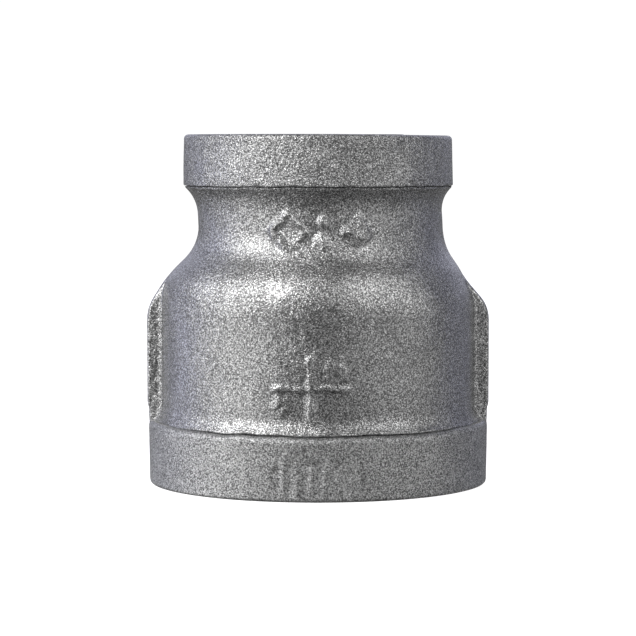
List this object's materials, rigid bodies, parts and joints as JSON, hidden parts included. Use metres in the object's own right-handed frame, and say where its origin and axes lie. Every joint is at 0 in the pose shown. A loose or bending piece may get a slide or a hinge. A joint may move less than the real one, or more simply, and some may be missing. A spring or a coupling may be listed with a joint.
{
  "type": "reducing coupling",
  "caption": "Banded cast-iron reducing coupling: a bell-shaped wall between a large and a small end, each with a tapered female pipe thread.",
  "frame": {"origin": "centre of the large end's face, on which it stands", "axes": "+Z along the bore from the large end towards the small end; the two ribs lie at -X and +X"},
  "size_m": [0.0558, 0.0554, 0.0565],
  "materials": {
    "cast_skin": "galvanised sand-cast skin, fine orange-peel grain with a dull sparkle",
    "tapped_thread": "cut thread, brighter and smoother than the skin"
  },
  "bodies": {
    "root": {"cast_body": "cast_skin", "large_end_band": "cast_skin", "small_end_band": "cast_skin", "rib_left": "cast_skin", "rib_right": "cast_skin", "large_end_thread": "tapped_thread", "small_end_thread": "tapped_thread"}
  },
  "joints": []
}
